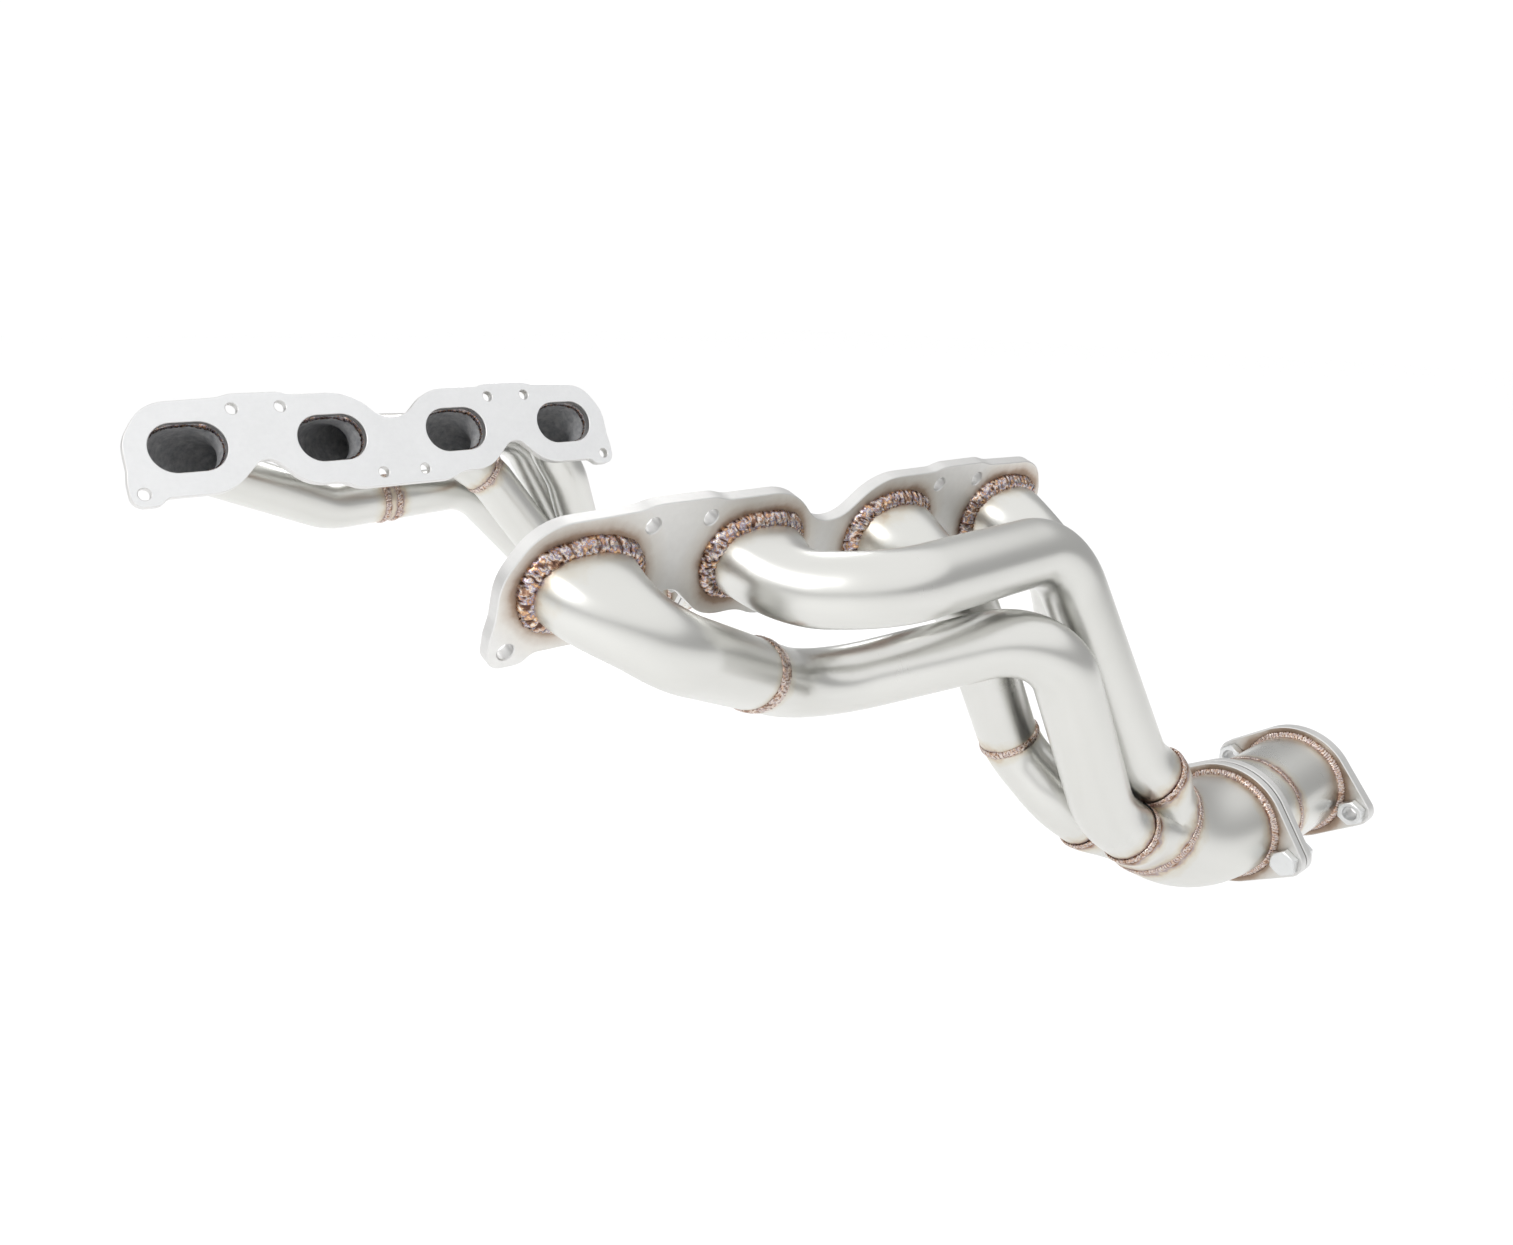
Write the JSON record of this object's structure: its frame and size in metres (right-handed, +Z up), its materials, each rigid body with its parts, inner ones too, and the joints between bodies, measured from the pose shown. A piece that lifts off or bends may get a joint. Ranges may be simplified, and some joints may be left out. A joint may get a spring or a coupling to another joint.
{
  "type": "racing exhaust system",
  "caption": "Matched left and right tubular headers: primary tubes from a head flange merge into a collector, a bolted joint and a short link pipe.",
  "frame": {"origin": "centre of the left head flange on the face that meets the cylinder head, between ports 2 and 3", "axes": "+X along the head flange towards the rear of the engine, +Y to the right across the engine, +Z up"},
  "size_m": [0.7039, 0.8314, 0.3326],
  "materials": {
    "tube_steel": "brushed bright stainless with straw and blue heat tint beside the welds",
    "collector_steel": "brushed stainless, tinted at the seams",
    "pipe_steel": "brushed bright stainless",
    "head_plate": "cut plate, ground on the port face, matte and warm beside the welds",
    "ear_plate": "cut plate with a fine brushed face",
    "gasket": "dull layered steel",
    "fastener": "bright plated steel"
  },
  "bodies": {
    "left_header": {"left_head_flange": "head_plate", "left_primary_1_front": "tube_steel", "left_primary_1_rear": "tube_steel", "left_primary_2": "tube_steel", "left_primary_3_upper": "tube_steel", "left_primary_3_lower": "tube_steel", "left_primary_4": "tube_steel", "left_collector_merge": "collector_steel", "left_merge_spike": "collector_steel", "left_collector_outlet": "collector_steel", "left_collector_flange": "ear_plate", "left_joint_gasket": "gasket", "left_link_flange": "ear_plate", "left_link_pipe_front": "pipe_steel", "left_link_pipe_rear": "pipe_steel", "left_outlet_flange": "ear_plate", "left_joint_bolt_1": "fastener", "left_joint_bolt_2": "fastener", "left_joint_nut_1": "fastener", "left_joint_nut_2": "fastener", "left_outlet_nut_1": "fastener", "left_outlet_nut_2": "fastener"},
    "right_header": {"right_head_flange": "head_plate", "right_primary_1_front": "tube_steel", "right_primary_1_rear": "tube_steel", "right_primary_2": "tube_steel", "right_primary_3_upper": "tube_steel", "right_primary_3_lower": "tube_steel", "right_primary_4": "tube_steel", "right_collector_merge": "collector_steel", "right_merge_spike": "collector_steel", "right_collector_outlet": "collector_steel", "right_collector_flange": "ear_plate", "right_joint_gasket": "gasket", "right_link_flange": "ear_plate", "right_link_pipe_front": "pipe_steel", "right_link_pipe_rear": "pipe_steel", "right_outlet_flange": "ear_plate", "right_joint_bolt_1": "fastener", "right_joint_bolt_2": "fastener", "right_joint_nut_1": "fastener", "right_joint_nut_2": "fastener", "right_outlet_nut_1": "fastener", "right_outlet_nut_2": "fastener"}
  },
  "joints": [
    {"name": "right_header_draw_off", "type": "slide", "parent": "left_header", "child": "right_header", "axis": [0, 0.9385, -0.3453], "range_m": [0, 0.03]}
  ]
}
